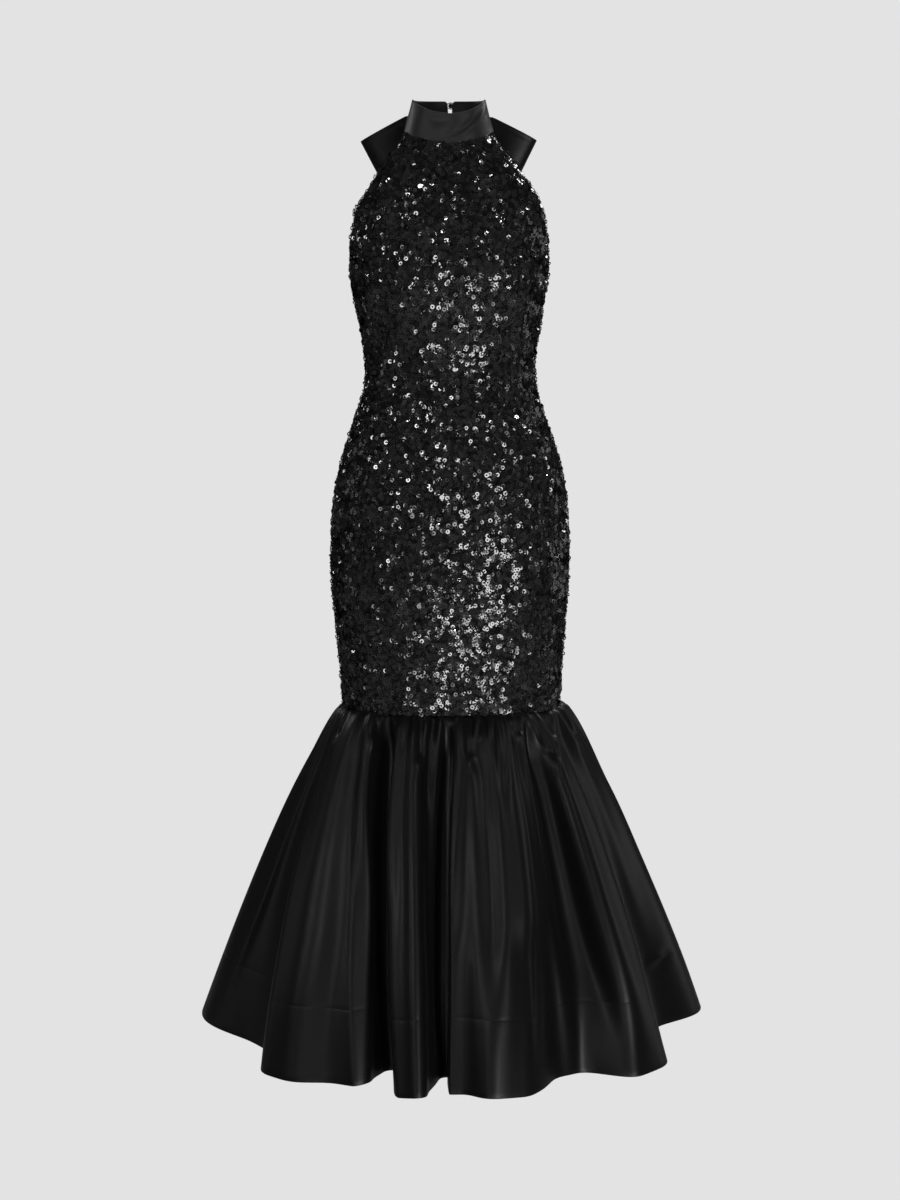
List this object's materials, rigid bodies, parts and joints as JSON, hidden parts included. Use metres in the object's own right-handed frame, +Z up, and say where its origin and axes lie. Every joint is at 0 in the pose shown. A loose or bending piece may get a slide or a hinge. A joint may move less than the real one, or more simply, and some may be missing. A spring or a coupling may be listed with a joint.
{
  "type": "mermaid midi dress",
  "caption": "Halter-neck sequinned sheath dress with a satin stand collar, a satin bow at the back of the neck and a gathered satin flounce, filled out and hollow as worn.",
  "frame": {"origin": "centre of the neck, level with the sides of the collar seam, where the wearer holds the dress up", "axes": "+Z up, the dress's front faces -Y, +X is the right of the dress seen from the front"},
  "size_m": [0.7088, 0.7041, 1.2688],
  "materials": {
    "sequin_cloth": "black knitted ground covered with round cup sequins",
    "satin": "black heavy satin, soft sheen",
    "trim": "black satin binding and covered button"
  },
  "bodies": {
    "root": {"collar": "satin", "collar_button": "trim", "collar_loop": "trim", "front_panel": "sequin_cloth", "back_panel_left": "sequin_cloth", "back_panel_right": "sequin_cloth", "armhole_binding_left": "trim", "armhole_binding_right": "trim", "bow_loop_left": "satin", "bow_loop_right": "satin", "bow_knot": "satin", "flounce_front": "satin", "flounce_back": "satin"}
  },
  "joints": []
}
